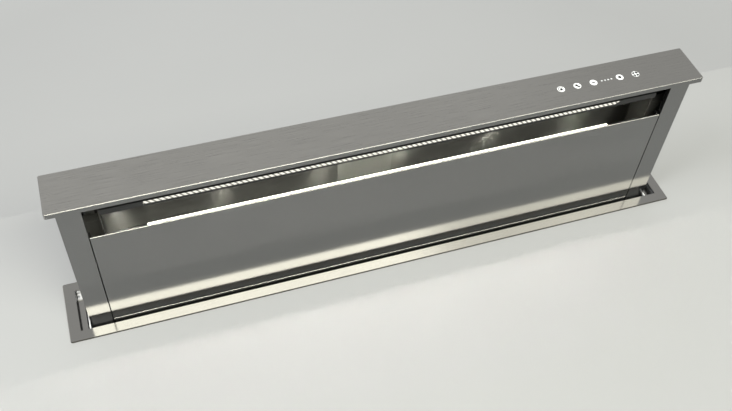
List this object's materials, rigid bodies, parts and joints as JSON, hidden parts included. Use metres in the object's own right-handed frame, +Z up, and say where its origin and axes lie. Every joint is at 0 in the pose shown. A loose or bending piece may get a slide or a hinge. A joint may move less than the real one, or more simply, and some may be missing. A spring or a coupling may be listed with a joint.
{
  "type": "downdraft vent",
  "caption": "Worktop downdraft vent: a motor-lifted extractor tower with a lit intake slot, in an under-counter casing with blower and round duct collar.",
  "frame": {"origin": "centre of the worktop cut-out, on the worktop's upper surface, which is the underside of the flange", "axes": "+X along the vent to the cook's right, -Y towards the cook, +Z up; the tower is stored raised"},
  "size_m": [0.937, 0.2905, 0.892],
  "materials": {
    "stainless": "brushed along X",
    "galvanised": "galvanised sheet",
    "aluminium_profile": "anodised",
    "aluminium_sheet": "mill",
    "filter_mesh": "expanded mesh",
    "light_opal": "opal diffuser, lit",
    "lens": "clear lens, lit",
    "circuit_board": "solder mask",
    "nylon": "moulded",
    "gear_plastic": "moulded acetal",
    "black_plastic": "fine grain",
    "rubber": "matt",
    "bronze": "sintered",
    "motor_steel": "zinc grey",
    "shaft_steel": "ground",
    "fastener_steel": "zinc plated"
  },
  "bodies": {
    "casing": {"worktop_flange": "stainless", "casing_front": "galvanised", "casing_back": "galvanised", "casing_end_left": "galvanised", "casing_end_right": "galvanised", "casing_floor": "galvanised", "end_ledges": "stainless", "cap_pads": "nylon", "guide_rails": "stainless", "gear_racks": "gear_plastic", "stop_brackets": "galvanised", "stop_buffers": "rubber", "limit_switches": "black_plastic", "scroll_housing": "galvanised", "inlet_plate": "galvanised", "fan_motor": "motor_steel", "motor_isolators": "rubber", "duct_collar": "black_plastic", "flap_pin": "fastener_steel", "electronics_box": "black_plastic", "control_board": "circuit_board", "electronics_lid": "black_plastic", "cable_gland": "black_plastic", "worktop_clamps": "galvanised", "clamp_screws": "fastener_steel", "floor_feet": "galvanised", "casing_screws": "fastener_steel"},
    "tower": {"cap": "stainless", "key_lenses": "lens", "level_lamps": "lens", "touch_board": "circuit_board", "column_left": "stainless", "column_right": "stainless", "back_panel": "stainless", "chamber_ends": "stainless", "side_brackets": "stainless", "lamp_box": "aluminium_profile", "upper_light": "light_opal", "light_board": "circuit_board", "filter_frame": "aluminium_profile", "lower_light": "light_opal", "grease_filter_left": "filter_mesh", "grease_filter_middle": "filter_mesh", "grease_filter_right": "filter_mesh", "hook_pins": "fastener_steel", "lifting_beam": "galvanised", "motor_bracket": "galvanised", "shaft_bushes": "bronze", "lift_motor": "motor_steel", "glide_shoes": "nylon"},
    "front_panel": {"front_panel": "stainless"},
    "drive_shaft": {"drive_shaft": "shaft_steel", "rack_pinions": "gear_plastic", "drive_gear": "gear_plastic"},
    "motor_gear": {"motor_gear": "shaft_steel"},
    "impeller": {"impeller": "black_plastic", "fan_shaft": "shaft_steel"},
    "flap_rear": {"damper_flap_rear": "aluminium_sheet"},
    "flap_front": {"damper_flap_front": "aluminium_sheet"}
  },
  "joints": [
    {"name": "tower_slide", "type": "slide", "parent": "casing", "child": "tower", "axis": [0, 0, 1], "range_m": [-0.25, 0]},
    {"name": "panel_lift", "type": "slide", "parent": "tower", "child": "front_panel", "axis": [0, 0, 1], "range_m": [0, 0.012]},
    {"name": "drive_shaft_spin", "type": "hinge", "parent": "tower", "child": "drive_shaft", "pos_m": [0, 0, -0.105], "axis": [1, 0, 0], "range_deg": [0, 896]},
    {"name": "motor_gear_spin", "type": "hinge", "parent": "tower", "child": "motor_gear", "pos_m": [0, 0, -0.075], "axis": [1, 0, 0], "range_deg": [-1344, 0]},
    {"name": "impeller_spin", "type": "hinge", "parent": "casing", "child": "impeller", "pos_m": [-0.06, -0.09, -0.48], "axis": [0, -1, 0], "continuous": true},
    {"name": "flap_rear_swing", "type": "hinge", "parent": "casing", "child": "flap_rear", "pos_m": [0.1105, -0.117, -0.4105], "axis": [0, 0, 1], "range_deg": [-75, 0], "stiffness_Nm_per_rad": 0.01, "springref_deg": 17.19},
    {"name": "flap_front_swing", "type": "hinge", "parent": "casing", "child": "flap_front", "pos_m": [0.1105, -0.117, -0.4105], "axis": [0, 0, 1], "range_deg": [0, 75], "stiffness_Nm_per_rad": 0.01, "springref_deg": -17.19}
  ],
  "couplings": [
    {"joint": "drive_shaft_spin", "follows": "tower_slide", "rad_per_m": -62.5},
    {"joint": "motor_gear_spin", "follows": "tower_slide", "rad_per_m": 93.75}
  ]
}
